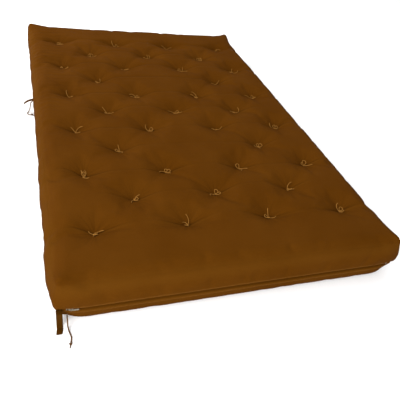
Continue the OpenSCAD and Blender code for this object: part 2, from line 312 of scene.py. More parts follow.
def build_mottle_group():
    """Broad, soft unevenness of dye and wear, with finer lint on it."""
    tree, given, out = new_group(
        "soft_mottle",
        [("Vector", VECTOR, None), ("Size", FLOAT, 6.0), ("Lint", FLOAT, 160.0)],
        [("Fac", FLOAT), ("Lint", FLOAT)],
    )
    vector = given.outputs["Vector"]
    broad = noise_of(tree, vector, given.outputs["Size"], 4.0, 0.55)
    lint = noise_of(tree, vector, given.outputs["Lint"], 3.0, 0.7)
    join(tree, out, Fac=ramp(tree, broad, 0.3, 0.7), Lint=ramp(tree, lint, 0.45, 0.75))
    return tree


def gauss(tree, value, middle, width):
    """A smooth bump of height 1 round the middle value."""
    scaled = math_of(tree, "DIVIDE", math_of(tree, "SUBTRACT", value, middle), width)
    return math_of(tree, "EXPONENT", times(tree, scaled, scaled, -1.0))


def build_fold_group():
    """Fine lines in the cloth, as painted shade and a bump height: the fold along each row of tufts, the
    pleats round each tuft and the ripples near the left edge, with a painted highlight just below each row's
    fold.

    Tuft holds the offset from the nearest tuft and, as its third part, 1 where that tuft is near.
    Row holds the distance beyond the row's fold line, how strong the fold is, and where the
    edge is rippled.
    """
    tree, given, out = new_group(
        "tuft_folds",
        [("Vector", VECTOR, None), ("Tuft", VECTOR, None), ("Row", VECTOR, None)],
        [("Dark", FLOAT), ("Lit", FLOAT), ("Height", FLOAT)],
    )
    vector = given.outputs["Vector"]
    tuft = node(tree, "ShaderNodeSeparateXYZ", {0: given.outputs["Tuft"]}).outputs
    offset = node(tree, "ShaderNodeCombineXYZ", {0: tuft[0], 1: tuft[1]}).outputs[0]
    reach = vector_math(tree, "LENGTH", offset, out="Value")
    around = vector_math(tree, "SCALE", vector_math(tree, "NORMALIZE", offset), Scale=2.6)
    own = vector_math(tree, "SCALE", vector_math(tree, "SUBTRACT", vector, offset), Scale=37.0)
    streak = noise_of(tree, vector_math(tree, "ADD", around, own), 1.0, 2.0, 0.6)
    level = math_of(tree, "SUBTRACT", streak, 0.5)
    lines = gauss(tree, times(tree, level, reach), 0.0, 1.6 * MM)
    near = ramp(tree, reach, 0.004, 0.016)
    far = ramp(tree, reach, 0.010, 0.088, 1.0, 0.0)
    # painted shade along the pleats round each tuft
    pleat = times(tree, lines, near, far, tuft[2])
    row = node(tree, "ShaderNodeSeparateXYZ", {0: given.outputs["Row"]}).outputs
    # painted shade along the bottom of each row's fold
    fold_shade = times(tree, gauss(tree, row[0], 0.0, 2.6 * MM), row[1])
    # painted highlight on the lit side just below each row's fold
    lit = times(tree, gauss(tree, row[0], -7.5 * MM, 4.5 * MM), row[1])
    stretched = stretch(tree, vector, (5.0, 34.0, 1.0), 0.30)
    # painted shade in the ripples near the left edge
    ripple = times(tree, gauss(tree, noise_of(tree, stretched, 1.0, 1.0), 0.5, 0.020), row[2], 0.28)
    drawn = math_of(tree, "ADD", fold_shade, times(tree, pleat, 0.40))
    # all the painted shade together, clamped to 1; the bump height is 0.6 of the painted highlight less this
    both = node(tree, "ShaderNodeMath", {0: drawn, 1: ripple}, operation="ADD", use_clamp=True)
    dark = both.outputs[0]
    join(tree, out, Dark=dark, Lit=lit, Height=math_of(tree, "SUBTRACT", times(tree, lit, 0.6), dark))
    return tree


WEAVE = build_weave_group()
MOTTLE = build_mottle_group()
FOLDS = build_fold_group()


def use_group(tree, group, inputs):
    return node(tree, "ShaderNodeGroup", inputs, node_tree=group).outputs


def mix(tree, factor, first, second, blend="MIX"):
    """The colour output of a Mix node. A plain colour is a tuple of three numbers."""
    first, second = [(*c, 1.0) if isinstance(c, tuple) else c for c in (first, second)]
    inputs = {0: factor, 6: first, 7: second}
    return node(tree, "ShaderNodeMix", inputs, data_type="RGBA", blend_type=blend).outputs[2]


def new_material(name, roughness, **sockets):
    """A material with one Principled shader, whose even values sit on its own sockets."""
    material = bpy.data.materials.new(name)
    material.use_nodes = True
    tree = material.node_tree
    shader = next(n for n in tree.nodes if n.type == "BSDF_PRINCIPLED")
    shader.inputs["Roughness"].default_value = roughness
    for title, value in sockets.items():
        shader.inputs[title.replace("_", " ")].default_value = value
    return material, tree, shader


def bump_on(tree, height, distance, strength, under=None):
    inputs = {"Height": height, "Distance": distance, "Strength": strength}
    if under:
        inputs["Normal"] = under
    return node(tree, "ShaderNodeBump", inputs).outputs["Normal"]


def cloth_material(name, dark, light, worn, pitch=1.6 * MM, weave_depth=0.12 * MM, folded=False):
    """Woven cotton on the piece's own UV map: twill, uneven dye, paler where it is worn.

    With folded, the fold lines and pleats of the casing are drawn from its attributes, as bumps and as
    painted shade, with a painted highlight in the worn colour just below each row's fold.
    """
    material, tree, shader = new_material(name, 0.88, Sheen_Weight=0.01, Sheen_Roughness=0.5,
                                          Sheen_Tint=(*worn, 1.0), Specular_IOR_Level=0.01)
    uv = sheet_place(tree)
    weave = use_group(tree, WEAVE, {"Vector": uv, "Pitch": pitch})
    mottle = use_group(tree, MOTTLE, {"Vector": uv, "Size": 5.0, "Lint": 220.0})
    wear = node(tree, "ShaderNodeAttribute", attribute_name="wear").outputs["Fac"]
    base = mix(tree, mottle["Fac"], dark, light)
    # painted shade and highlight on the weave: the cloth darker where the threads lie low and paler where
    # they stand up
    thread = mix(tree, weave["Shade"], (0.90, 0.90, 0.90), (1.08, 1.08, 1.08))
    woven = mix(tree, 1.0, base, thread, blend="MULTIPLY")
    faded = mix(tree, wear, woven, worn)
    cloth = mix(tree, times(tree, mottle["Lint"], 0.05), faded, tuple(2.2 * c for c in worn))
    rough = ramp(tree, weave["Shade"], 0.0, 1.0, 0.95, 0.80)
    under = bump_on(tree, noise_of(tree, uv, 26.0, 3.0), 1.6 * MM, 0.6)
    if folded:
        tuft = node(tree, "ShaderNodeAttribute", attribute_name="tuft_offset").outputs["Vector"]
        row = node(tree, "ShaderNodeAttribute", attribute_name="row_fold").outputs["Vector"]
        folds = use_group(tree, FOLDS, {"Vector": uv, "Tuft": tuft, "Row": row})
        # painted shade: the cloth darkened towards about a third of its dark colour along the folds, pleats
        # and ripples
        cloth = mix(tree, times(tree, folds["Dark"], 0.66), cloth, tuple(0.35 * c for c in dark))
        # painted highlight: the worn colour laid along the lit side just below each row's fold
        cloth = mix(tree, times(tree, folds["Lit"], 0.50), cloth, worn)
        under = bump_on(tree, folds["Height"], 2.0 * MM, 0.8, under)
    normal = bump_on(tree, weave["Height"], weave_depth, 0.8, under)
    join(tree, shader, Base_Color=cloth, Roughness=rough, Normal=normal)
    return material


def twine_material(name, dark, light, twist=None):
    """Waxed twine or cord. With twist, the turns of its plies are drawn round it from its UV map, as a bump
    and as painted shade in the grooves between them.
    """
    material, tree, shader = new_material(name, 0.70, Specular_IOR_Level=0.05)
    spot = own_place(tree)
    mottle = use_group(tree, MOTTLE, {"Vector": spot, "Size": 60.0, "Lint": 900.0})
    base = mix(tree, mottle["Fac"], dark, light)
    height = noise_of(tree, spot, 1500.0, 3.0)
    if twist:
        turns = wave(tree, sheet_place(tree), (twist, 2.0, 0.0), 1.0)
        # painted shade: darker in the grooves between the ply turns
        shade = ramp(tree, turns, -1.0, 0.2, 0.55, 1.0)
        ply_shade = node(tree, "ShaderNodeCombineColor", {0: shade, 1: shade, 2: shade}).outputs[0]
        base = mix(tree, 1.0, base, ply_shade, blend="MULTIPLY")
        height = math_of(tree, "ADD", times(tree, turns, 0.5), height)
    rough = ramp(tree, mottle["Lint"], 0.0, 1.0, 0.55, 0.8)
    join(tree, shader, Base_Color=base, Roughness=rough, Normal=bump_on(tree, height, 0.4 * MM, 0.7))
    return material


def fill_material(name, dark, light, grain, depth):
    """Felt or foam: a pale matt mass with fibres or open cells."""
    material, tree, shader = new_material(name, 0.95, Specular_IOR_Level=0.1, Sheen_Weight=0.3)
    mottle = use_group(tree, MOTTLE, {"Vector": own_place(tree), "Size": 14.0, "Lint": grain})
    base = mix(tree, mottle["Fac"], dark, light)
    pits = mix(tree, mottle["Lint"], base, tuple(0.7 * c for c in dark))
    join(tree, shader, Base_Color=pits, Normal=bump_on(tree, mottle["Lint"], depth, 0.8))
    return material


def metal_material(name, colour, worn):
    """Plated zinc, brushed along its length, duller and darker where it has been handled."""
    material, tree, shader = new_material(name, 0.3, Metallic=1.0)
    spot = own_place(tree)
    mottle = use_group(tree, MOTTLE, {"Vector": spot, "Size": 220.0, "Lint": 2500.0})
    rough = ramp(tree, mottle["Fac"], 0.0, 1.0, 0.34, 0.52)
    stretched = stretch(tree, spot, (200.0, 4000.0, 4000.0))
    brushed = bump_on(tree, noise_of(tree, stretched, 1.0, 2.0), 0.03 * MM, 0.5)
    handled = mix(tree, mottle["Fac"], colour, worn)
    join(tree, shader, Base_Color=handled, Roughness=rough, Normal=brushed)
    return material


def nylon_material(name, dark, light):
    material, tree, shader = new_material(name, 0.45, Coat_Weight=0.1)
    mottle = use_group(tree, MOTTLE, {"Vector": own_place(tree), "Size": 90.0, "Lint": 1800.0})
    rough = ramp(tree, mottle["Lint"], 0.0, 1.0, 0.38, 0.6)
    grain = bump_on(tree, mottle["Lint"], 0.05 * MM, 0.5)
    dyed = mix(tree, mottle["Fac"], dark, light)
    join(tree, shader, Base_Color=dyed, Roughness=rough, Normal=grain)
    return material


DRILL = cloth_material(
    "brown_drill", (0.066, 0.0207, 0.0010), (0.079, 0.0260, 0.0018), (0.103, 0.039, 0.0036),
    folded=True)
TIE_TAPE = cloth_material(
    "tie_tape_drill", (0.046, 0.016, 0.0012), (0.060, 0.022, 0.0020), (0.085, 0.034, 0.005),
    pitch=1.2 * MM)
ZIP_TAPE = cloth_material(
    "zip_tape_weave", (0.030, 0.010, 0.0015), (0.040, 0.014, 0.002), (0.06, 0.022, 0.004),
    pitch=0.9 * MM, weave_depth=0.08 * MM)
TWINE_BROWN = twine_material("waxed_twine", (0.200, 0.086, 0.014), (0.300, 0.140, 0.028))
CORD_BROWN = twine_material("tie_cord_twist", (0.085, 0.037, 0.009), (0.125, 0.058, 0.017), twist=18.0)
THREAD = twine_material("sewing_thread", (0.17, 0.07, 0.014), (0.24, 0.11, 0.028))
FELT = fill_material("cotton_felt", (0.70, 0.64, 0.52), (0.82, 0.77, 0.66), 320.0, 1.5 * MM)
FOAM = fill_material("open_cell_foam", (0.76, 0.69, 0.44), (0.84, 0.78, 0.56), 900.0, 0.6 * MM)
METAL = metal_material("plated_zinc", (0.36, 0.32, 0.25), (0.20, 0.17, 0.12))
NYLON = nylon_material("nylon_teeth", (0.028, 0.011, 0.003), (0.050, 0.020, 0.005))

# ---------------- camera

VIEW_FROM = (-0.6056, -1.7417, 1.1370)
VIEW_TURN = (50.515, -9.542, -17.590)          # degrees about x, y and z


def make_camera():
    lens = bpy.data.cameras.new("view")
    lens.lens = 40.48
    lens.sensor_width = 36
    lens.clip_end = 50
    camera = linked("view", lens)
    camera.location = VIEW_FROM
    camera.rotation_euler = [math.radians(turn) for turn in VIEW_TURN]
    bpy.context.scene.camera = camera


make_camera()

# ---------------- tie cords

# Each point is [outward, sideways, height] in metres, measured from where the cord leaves the cloth.
CORNER_CORD = [
    [0, 0, .036], [.007, 0, .036], [.012, 0, .034], [.016, 0, .029], [.018, 0, .022],
    [.020, 0, .015], [.023, .001, .008], [.028, .002, .004], [.035, .004, .002],
    [.043, .006, .002], [.051, .007, .002], [.059, .006, .002], [.067, .004, .002],
]
SIDE_CORD = [
    [0, 0, .052], [.008, 0, .052], [.014, .001, .050], [.019, .002, .045], [.022, .004, .037],
    [.024, .006, .027], [.026, .008, .017], [.030, .011, .008], [.035, .016, .003],
    [.038, .023, .002], [.037, .031, .002], [.032, .037, .002], [.024, .039, .002],
]


def box_middle(name, axis):
    low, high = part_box(name)
    return (low[axis] + high[axis]) / 2


def corner_route():
    """The cord's first points run straight out, so its start is the middle of its box at that end."""
    low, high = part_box("tie_cord_corner")
    x0 = low.x + CORD / 2
    return [Vector((x0 + s, high.y - o, h)) for o, s, h in CORNER_CORD]


def side_route():
    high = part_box("tie_cord_side")[1]
    y0 = high.y - CORD / 2
    return [Vector((high.x - o, y0 - s, h)) for o, s, h in SIDE_CORD]


def cord_curve(name, points, body, node_name):
    """A round cord as a curve of one open spline."""
    data = bpy.data.curves.new(name, "CURVE")
    data.dimensions = "3D"
    data.bevel_depth = CORD / 2
    data.bevel_resolution = 4
    data.use_fill_caps = True
    data.resolution_u = 5
    spline = data.splines.new("BEZIER")
    spline.bezier_points.add(len(points) - 1)
    for place, p in zip(spline.bezier_points, points):
        place.co = p
        place.handle_left_type = place.handle_right_type = "AUTO"
    data.materials.append(CORD_BROWN)
    piece = linked(name, data)
    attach(piece, body)
    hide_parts(node_name)


def catmull(points, step):
    """An even run of points on a smooth curve through the given ones."""
    p = np.array([list(q) for q in points], float)
    p = np.vstack([2 * p[0] - p[1], p, 2 * p[-1] - p[-2]])
    t = np.linspace(0, 1, 9)[:-1, None]
    runs = [
        0.5 * (2 * b + (c - a) * t + (2 * a - 5 * b + 4 * c - d) * t ** 2
               + (3 * b - a - 3 * c + d) * t ** 3)
        for a, b, c, d in zip(p, p[1:], p[2:], p[3:])
    ]
    line = np.vstack(runs + [p[-2][None]])
    along = np.r_[0, np.cumsum(np.linalg.norm(np.diff(line, axis=0), axis=1))]
    places = np.linspace(0, along[-1], max(3, int(along[-1] / step) + 1))
    return np.stack([np.interp(places, along, line[:, k]) for k in range(3)], 1), places


def plies(points, offset, pitch, step=1.3 * MM, count=2):
    """The centre lines of the plies that wind round a path."""
    line, places = catmull(points, step)
    tangent = np.gradient(line, axis=0)
    tangent /= np.linalg.norm(tangent, axis=1)[:, None]
    side = np.cross(tangent, (0.31, 0.17, 0.93))
    side /= np.maximum(np.linalg.norm(side, axis=1), 1e-6)[:, None]
    up = np.cross(tangent, side)
    wound = []
    for k in range(count):
        turn = (math.tau * (places / pitch + k / count))[:, None]
        wound.append(line + offset * (np.cos(turn) * side + np.sin(turn) * up))
    return wound


def tube_mesh(name, lines, radius, material, sides=1):
    """One mesh of round tubes along several lines."""
    data = bpy.data.curves.new(name, "CURVE")
    data.dimensions = "3D"
    data.bevel_depth = radius
    data.bevel_resolution = sides
    data.use_fill_caps = True
    for line in lines:
        spline = data.splines.new("POLY")
        spline.points.add(len(line) - 1)
        spline.points.foreach_set("co", np.c_[line, np.ones(len(line))].ravel())
    curve = linked(name + "_line", data)
    depsgraph = bpy.context.evaluated_depsgraph_get()
    mesh = bpy.data.meshes.new_from_object(curve.evaluated_get(depsgraph))
    bpy.data.objects.remove(curve)
    mesh.name = name
    return object_from(name, mesh, material)


def knot_line(centre, size, turn=0.0, tilt=0.0):
    """An overhand knot pulled nearly tight: a trefoil, turned about the upright."""
    t = np.linspace(0, math.tau, 28)
    across, along = np.sin(t) + 2 * np.sin(2 * t), np.cos(t) - 2 * np.cos(2 * t)
    shape = np.stack([across, along, -1.15 * np.sin(3 * t)], 1)
    c, s = math.cos(turn), math.sin(turn)
    spun = shape @ np.array([[c, s, 0], [-s, c, 0], [0, 0, 1]])
    c, s = math.cos(tilt), math.sin(tilt)
    return np.array(centre) + size / 6 * (spun @ np.array([[1, 0, 0], [0, c, s], [0, -s, c]]))


def end_knot(name, node_name, route, body):
    """The knot at the end of a tie cord, with its short frayed end."""
    low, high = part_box(node_name)
    centre = (low + high) / 2
    run = (route[-1] - route[-2]).normalized()
    knot = knot_line(centre, high.z - low.z - CORD * 0.7, turn=math.atan2(run.y, run.x), tilt=0.35)
    sag = ((0, -1), (5, -2.2), (9, -2.6), (12, -2.8))
    tip = [centre + run * t * MM + Vector((0, 0, z * MM)) for t, z in sag]
    lead = np.array([list(route[-1] - 2 * MM * run), list(centre)])
    piece = tube_mesh(name, [knot, lead], CORD * 0.40, CORD_BROWN, sides=2)
    frayed = tube_mesh(name + "_tip", plies(tip, 0.9 * MM, 8 * MM), CORD * 0.22, CORD_BROWN, sides=1)
    merged = bmesh.new()
    merged.from_mesh(piece.data)
    merged.from_mesh(frayed.data)
    merged.to_mesh(piece.data)
    merged.free()
    bpy.data.objects.remove(frayed)
    set_smooth(piece.data)
    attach(piece, body)
    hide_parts(node_name)
    return piece


corner_points, side_points = corner_route(), side_route()
corner_knot = end_knot("corner_cord_knot", "tie_knot_corner", corner_points, "foot_half")
side_knot = end_knot("side_cord_knot", "tie_knot_side", side_points, "head_half")
cord_curve("corner_cord", corner_points, "foot_half", "tie_cord_corner")
cord_curve("side_cord", side_points, "head_half", "tie_cord_side")

# ---------------- casing

EDGE = [0, .004, .009, .015, .022, .031, .041, .052, .064]
STEP = 0.014
HEIGHTS = [0, .006, .012, .018, .026, .036, .043, .0455, .047, .0485, .052,
           .0555, .057, .0585, .061, .067, .076, .088, .101, .113, .124, .135, .143, .150]
HEIGHTS = [h * THICK / HEIGHTS[-1] for h in HEIGHTS]


def rounded(points, axes, low, high):
    """Rounds the edges between two axes: what stands out past the core's square goes to a circle."""
    beyond = [points[:, a] - np.clip(points[:, a], l, h) for a, l, h in zip(axes, low, high)]
    size, reach = np.maximum(abs(beyond[0]), abs(beyond[1])), np.hypot(*beyond)
    share = np.where(reach > 1e-9, size / np.maximum(reach, 1e-9), 1)
    for axis, offset in zip(axes, beyond):
        points[:, axis] += offset * (share - 1)


def soft_block(points):
    """The plain stuffed block: rolls along every edge, tighter towards the nearly square corners."""
    gap = np.hypot(HALF_W - abs(points[:, 0]), HALF_L - abs(points[:, 1]))
    top_radius = TOP_ROLL - 0.024 * hump(gap, 0.085)
    radius = np.where(points[:, 2] > SEAM, top_radius, BOTTOM_ROLL)
    for axis, half in ((0, HALF_W), (1, HALF_L)):
        core = half - radius
        rounded(points, (axis, 2), (-core, BOTTOM_ROLL), (core, THICK - top_radius))
    core = np.array([HALF_W - CORNER, HALF_L - CORNER])
    rounded(points, (0, 1), -core, core)


def wobble(x, y, scale, seed):
    """Smooth unevenness from -1 to 1."""
    return np.array([noise.noise(Vector((a * scale, b * scale, seed))) for a, b in zip(x, y)])


def strength_at(y):
    """Creases are deeper towards the head end, where the mattress has been bent and leaned on."""
    return 0.65 + 0.5 * (y + HALF_L) / (2 * HALF_L)


def press_tufts(points):
    """The wide bowls that the twine pulls into the top and the smaller ones underneath."""
    x, y, z = points.T
    above = smoothstep(THICK - TOP_ROLL - 0.01, THICK - 0.004, z)
    below = 1 - smoothstep(0.0, 0.012, z)
    drop, rise = np.zeros(len(points)), np.zeros(len(points))
    for tx, ty in TUFTS:
        reach = np.hypot(x - tx, y - ty)
        drop += DIMPLE * (0.68 * np.exp(-reach / 0.021) + 0.32 * hump(reach, 0.062))
        rise = np.maximum(rise, UNDER_DIMPLE * hump(reach, 0.026))
    points[:, 2] += below * rise - above * drop
    return points


def fold_rows():
    """Each row of tufts: its y, its tufts' x, and how far its fold bows and how deep it is in each gap."""
    pick = random.Random(11)
    rows = []
    for places in TUFT_ROWS.values():
        xs = sorted(x for x, y in places)
        gaps = range(len(xs) + 1)
        bows = np.array([pick.uniform(0.004, 0.022) * (1 if pick.random() < 0.75 else -0.7) for k in gaps])
        depths = np.array([pick.uniform(0.30, 1.0) for k in gaps])
        rows.append((places[0][1], xs, bows, depths))
    return rows


def row_fold(x, y):
    """For each point, how far it lies beyond its row's fold line and how strong the fold is there."""
    rows = fold_rows()
    nearest = abs(y[:, None] - np.array([row[0] for row in rows])).argmin(1)
    beyond, strength = np.ones(len(x)), np.zeros(len(x))
    for k, (ty, xs, bows, depths) in enumerate(rows):
        own = nearest == k
        px, last = x[own], len(xs)
        edges = np.array([-HALF_W, *xs, HALF_W])
        gap = np.clip(np.searchsorted(edges, px) - 1, 0, last)
        low, high = edges[gap], edges[gap + 1]
        along = np.sin(math.pi * (px - low) / (high - low))
        away = np.minimum(np.where(gap > 0, px - low, 9), np.where(gap < last, high - px, 9))
        headward = (ty + HALF_L) / (2 * HALF_L)
        inner = (gap > 0) & (gap < last)
        across = depths[gap] * np.where(inner, 0.06 + 0.70 * headward, 0.25 * headward)
        fade = hump(away, 0.070)
        rim = smoothstep(0.02, 0.09, HALF_W - abs(px))
        strength[own] = (across + (1 - across) * fade) * rim * strength_at(ty)
        beyond[own] = y[own] - ty - bows[gap] * along
    return beyond, strength * (abs(beyond) < 0.045)


def tuft_offset(x, y):
    """For each point, its offset from the nearest tuft and 1 where that tuft is near."""
    places = np.array(TUFTS)
    dx, dy = x[:, None] - places[:, 0], y[:, None] - places[:, 1]
    nearest = np.hypot(dx, dy).argmin(1)
    every = np.arange(len(x))
    dx, dy = dx[every, nearest], dy[every, nearest]
    return np.stack([dx, dy, np.hypot(dx, dy) < NEAR_TUFT], 1)


def crease_top(points, beyond, strength):
    """Folds along the rows, short pleats round every tuft, and long soft waves between them."""
    x, y, z = points.T
    above = smoothstep(THICK - TOP_ROLL - 0.012, THICK - 0.012, z + DIMPLE * 0.5)
    pick = random.Random(12)
    groove = hump(beyond, 0.0095) - 0.60 * hump(beyond + 0.018, 0.011)
    drop = strength * (5.4 * MM * groove + 2.2 * MM * hump(beyond, 0.034))
    for tx, ty in TUFTS:
        near = np.hypot(x - tx, y - ty) < 0.12
        px, py = x[near], y[near]
        reach, angle = np.hypot(px - tx, py - ty), np.arctan2(py - ty, px - tx)
        count, turn = pick.choice((7, 8, 9)), pick.uniform(0, math.tau)
        pleat = np.cos(count * angle + turn) * (0.7 + 0.3 * np.cos(2 * angle + turn))
        fade = smoothstep(0.005, 0.014, reach) * np.exp(-reach / 0.026)
        drop[near] += 1.6 * MM * strength_at(ty) * pleat * fade
    points[:, 2] -= above * drop
    points[:, 2] += above * 1.6 * MM * wobble(x, y, 7.0, 3.0)
    left = smoothstep(-HALF_W + 0.22, -HALF_W + 0.05, x) * above * smoothstep(-0.6, 0.3, y)
    ripple = np.sin(math.tau * (y + 0.30 * x) / 0.036 + 2.0 * wobble(x, y, 9.0, 4.0))
    points[:, 2] -= left * 2.6 * MM * ripple * (0.5 + 0.8 * wobble(x, y, 6.0, 9.0))
    return points


def seam_inset(h):
    """How far the cloth turns in at height h above or below the seam."""
    from_cut = SEAM_CUT - np.minimum(h, SEAM_CUT)
    return np.where(h < SEAM_CUT, SEAM_ROLL - np.sqrt(SEAM_ROLL ** 2 - from_cut ** 2), 0)


def shape_sides(points, on_side, on_end):
    """The waist at the seam, its lips and puckers, the bellied walls and the slot that shows the zip."""
    x, y, z = points.T.copy()
    h = abs(z - SEAM)
    run = np.where(on_side != 0, y, x)
    pucker = np.sin(math.tau * run / 0.026 + 2.5 * wobble(x, y, 6.0, 1.0)) * np.exp(-h / 0.010)
    lip = 1.5 * MM * hump(h - 0.0085, 0.003)
    belly = 3.0 * MM * np.sin(math.pi * np.clip((z - SEAM) / (THICK - SEAM), 0, 1))
    sway = 2.5 * MM * wobble(x, y, 3.2, 5.0) * smoothstep(0, 0.03, h)
    inset = seam_inset(h) - lip - belly - sway + 0.7 * MM * pucker
    points[:, 0] -= on_side * inset
    at_foot = on_end < 0
    in_zip = at_foot * smoothstep(ZIP_HALF + 0.004, ZIP_HALF - 0.002, abs(x)) if at_foot.any() else 0
    cut = in_zip * (1 - smoothstep(SLOT - 0.0006, SLOT + 0.0006, h))
    moved = y - on_end * inset
    points[:, 1] = moved + cut * (ZIP_Y + ZIP_FLOOR - moved)
    corner = np.exp(-((HALF_W - abs(x)) ** 2 + (HALF_L - abs(y)) ** 2) / 0.055 ** 2)
    ear = corner * smoothstep(0.070, 0.130, z)
    pull = corner * (0.006 + 0.016 * (1 - smoothstep(0.0, 0.075, z)))
    pull = pull - np.where(y > 0, EAR_HEAD, EAR_FOOT) * ear
    points[:, 0] -= np.sign(x) * pull
    points[:, 1] -= np.sign(y) * pull
    points[:, 2] = np.minimum(points[:, 2] + EAR_RISE * ear, THICK + EAR_LIMIT)
    return points


SWELL_FRAMES = 20
SWELL_CLOTH = {
    "quality": 4, "mass": 0.25, "vertex_group_mass": "held", "shrink_min": -0.018,
    "tension_stiffness": 12, "compression_stiffness": 12, "shear_stiffness": 4,
    "bending_stiffness": 0.6, "tension_damping": 8, "compression_damping": 8, "air_damping": 4,
    "use_pressure": True, "uniform_pressure_force": 4,
}


def swell(piece, held, cap):
    """Lets the casing fill out: a cloth simulation with pressure inside, held where it is sewn or tied."""
    start = read_points(piece.data)
    group = piece.vertex_groups.new(name="held")
    group.add(np.flatnonzero(held).tolist(), 1.0, "REPLACE")
    cloth = piece.modifiers.new("swell", "CLOTH")
    for key, value in SWELL_CLOTH.items():
        setattr(cloth.settings, key, value)
    cloth.settings.effector_weights.gravity = 0
    cloth.collision_settings.use_collision = False
    scene = bpy.context.scene
    for span in (scene, cloth.point_cache):
        span.frame_start, span.frame_end = 1, SWELL_FRAMES
    for step in range(1, SWELL_FRAMES + 1):
        scene.frame_set(step)
    applied(piece)
    scene.frame_set(1)
    moved = read_points(piece.data) - start
    size = np.linalg.norm(moved, axis=1)
    share = np.minimum(1, cap / np.maximum(size, 1e-9)) * (0.3 + 0.7 * smoothstep(0.02, 0.08, start[:, 2]))
    write_points(piece.data, start + moved * share[:, None])
    piece.vertex_groups.clear()


def make_casing():
    bm = grid_box(spread_lines(HALF_W, STEP, EDGE), spread_lines(HALF_L, STEP, EDGE), HEIGHTS)
    mesh = mesh_from(bm, "casing")
    points = read_points(mesh)
    sides = np.where(abs(points[:, 0]) > HALF_W - 1e-6, np.sign(points[:, 0]), 0)
    ends = np.where(abs(points[:, 1]) > HALF_L - 1e-6, np.sign(points[:, 1]), 0)
    add_attribute(mesh, "side", sides)
    add_attribute(mesh, "end", ends)
    soft_block(points)
    press_tufts(points)
    write_points(mesh, points)
    piece = object_from("casing", mesh, DRILL)
    x, y, z = points.T
    held = np.exp(-((z - SEAM) / 0.012) ** 4) + (z < 0.002)
    for tx, ty in TUFTS:
        held = held + np.exp(-(np.hypot(x - tx, y - ty) / 0.017) ** 4)
    swell(piece, held > 0.5, cap=0.010)
    subdivided(piece)
    mesh = piece.data
    points = read_points(mesh)
    edge_of = {}
    for name in ("side", "end"):
        values = np.empty(len(mesh.vertices), np.float32)
        mesh.attributes[name].data.foreach_get("value", values)
        edge_of[name] = np.where(abs(values) > 0.6, np.sign(values), 0)
        mesh.attributes.remove(mesh.attributes[name])
    x, y, z = points.T
    beyond, strength = row_fold(x, y)
    strength = strength * smoothstep(THICK * 0.5, THICK * 0.7, z)
    from_left = x + HALF_W
    rippled = smoothstep(0.0, 0.06, from_left) * smoothstep(0.27, 0.09, from_left) * smoothstep(-0.1, 0.3, y)
    rippled = rippled * smoothstep(THICK * 0.6, THICK * 0.9, z)
    add_attribute(mesh, "row_fold", np.stack([beyond, strength, rippled], 1))
    add_attribute(mesh, "tuft_offset", tuft_offset(x, y))
    crease_top(points, beyond, strength)
    shape_sides(points, edge_of["side"], edge_of["end"])
    points[:, 2] = np.maximum(points[:, 2], 0.0)
    write_points(mesh, points)
    add_attribute(mesh, "wear", wear_at(points))
    set_smooth(mesh)
    return piece


def wear_at(points):
    """Paler cloth on the rolls and lips, where it rubs."""
    x, y, z = points.T
    roll = smoothstep(THICK - 0.055, THICK - 0.020, z) * (1 - smoothstep(THICK - 0.010, THICK - 0.002, z))
    lips = hump(abs(z - SEAM) - 0.009, 0.004)
    near_edge = 1 - smoothstep(0.0, 0.05, np.minimum(HALF_W - abs(x), HALF_L - abs(y)))
    return 0.30 * roll * near_edge + 0.35 * lips * near_edge


casing = make_casing()


def tree_of(piece):
    mesh = piece.data
    mesh.calc_loop_triangles()
    corners = [t.vertices for t in mesh.loop_triangles]
    return BVHTree.FromPolygons([v.co for v in mesh.vertices], [list(c) for c in corners])


SKIN = tree_of(casing)


def first_hit(start, towards):
    """Where a straight line from start first meets the casing, or None."""
    return SKIN.ray_cast(Vector(start), Vector(towards))[0]


def top_at(x, y):
    hit = first_hit((x, y, 1.0), (0, 0, -1))
    return hit.z if hit else THICK


def under_at(x, y):
    hit = first_hit((x, y, -1.0), (0, 0, 1))
    return hit.z if hit else 0.0


def foot_face_at(x, z):
    hit = first_hit((x, -HALF_L - 0.2, z), (0, 1, 0))
    return hit.y if hit else -HALF_L


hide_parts("top_panel_head", "top_panel_foot", "bottom_panel_head", "bottom_panel_foot")
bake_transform(casing)

# ---------------- filling

LAYERS = ("felt_1", "felt_2", "foam_3", "foam_4", "felt_5", "felt_6")


def layer_bounds():
    """Heights of the layers' faces as shares of the whole filling, from the CAD boxes."""
    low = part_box("felt_1_foot")[0].z
    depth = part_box("felt_6_foot")[1].z - low
    return [tuple((c.z - low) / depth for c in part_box(name + "_foot")) for name in LAYERS]


def height_field(step):
    xs = np.arange(-HALF_W + 0.02, HALF_W - 0.0199, step)
    ys = np.arange(-HALF_L + 0.02, HALF_L - 0.0199, step)
    top = np.array([[top_at(x, y) for y in ys] for x in xs])
    under = np.array([[under_at(x, y) for y in ys] for x in xs])
    return xs, ys, top, under


FIELD = height_field(0.0125)


def sample(field, x, y):
    """Bilinear height at each point."""
    xs, ys = FIELD[0], FIELD[1]
    u = np.clip((x - xs[0]) / (xs[1] - xs[0]), 0, len(xs) - 1.001)
    v = np.clip((y - ys[0]) / (ys[1] - ys[0]), 0, len(ys) - 1.001)
    i, j = u.astype(int), v.astype(int)
    a, b = u - i, v - j
    return ((1 - a) * (1 - b) * field[i, j] + a * (1 - b) * field[i + 1, j]
            + (1 - a) * b * field[i, j + 1] + a * b * field[i + 1, j + 1])


